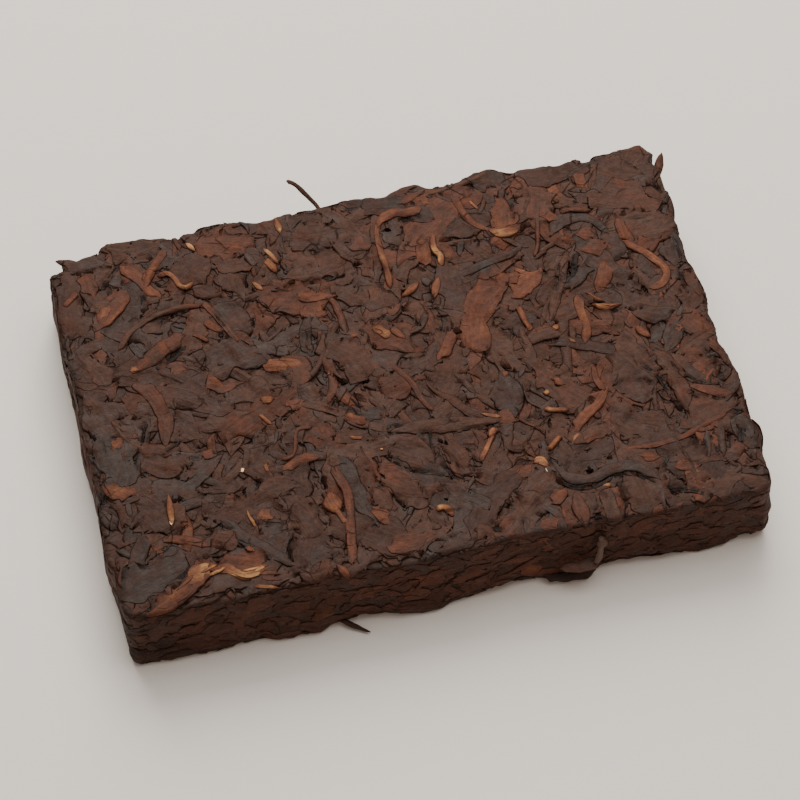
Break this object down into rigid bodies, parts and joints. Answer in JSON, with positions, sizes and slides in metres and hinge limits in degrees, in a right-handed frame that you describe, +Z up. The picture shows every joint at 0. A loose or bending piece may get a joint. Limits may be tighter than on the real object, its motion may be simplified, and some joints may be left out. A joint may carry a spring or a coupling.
{
  "type": "pressed tea brick",
  "caption": "Flat rectangular brick of compacted dark tea leaves with stalks in its surface, crumbled rims and worn corners.",
  "frame": {"origin": "centre of the flat underside that the brick rests on", "axes": "+X along the brick's length, +Y towards its back, +Z up through its thickness"},
  "size_m": [0.1527, 0.1145, 0.0223],
  "materials": {
    "pressed_leaf": "dry compacted leaf, satin where it was pressed flat",
    "stalk": "dry fibrous stalk, matt",
    "golden_tip": "dry downy bud, matt"
  },
  "bodies": {
    "root": {"tea_brick": "pressed_leaf", "back_stalk": "stalk", "front_twig": "stalk", "front_splinter": "pressed_leaf", "corner_sliver": "pressed_leaf", "back_sliver": "pressed_leaf"}
  },
  "joints": []
}
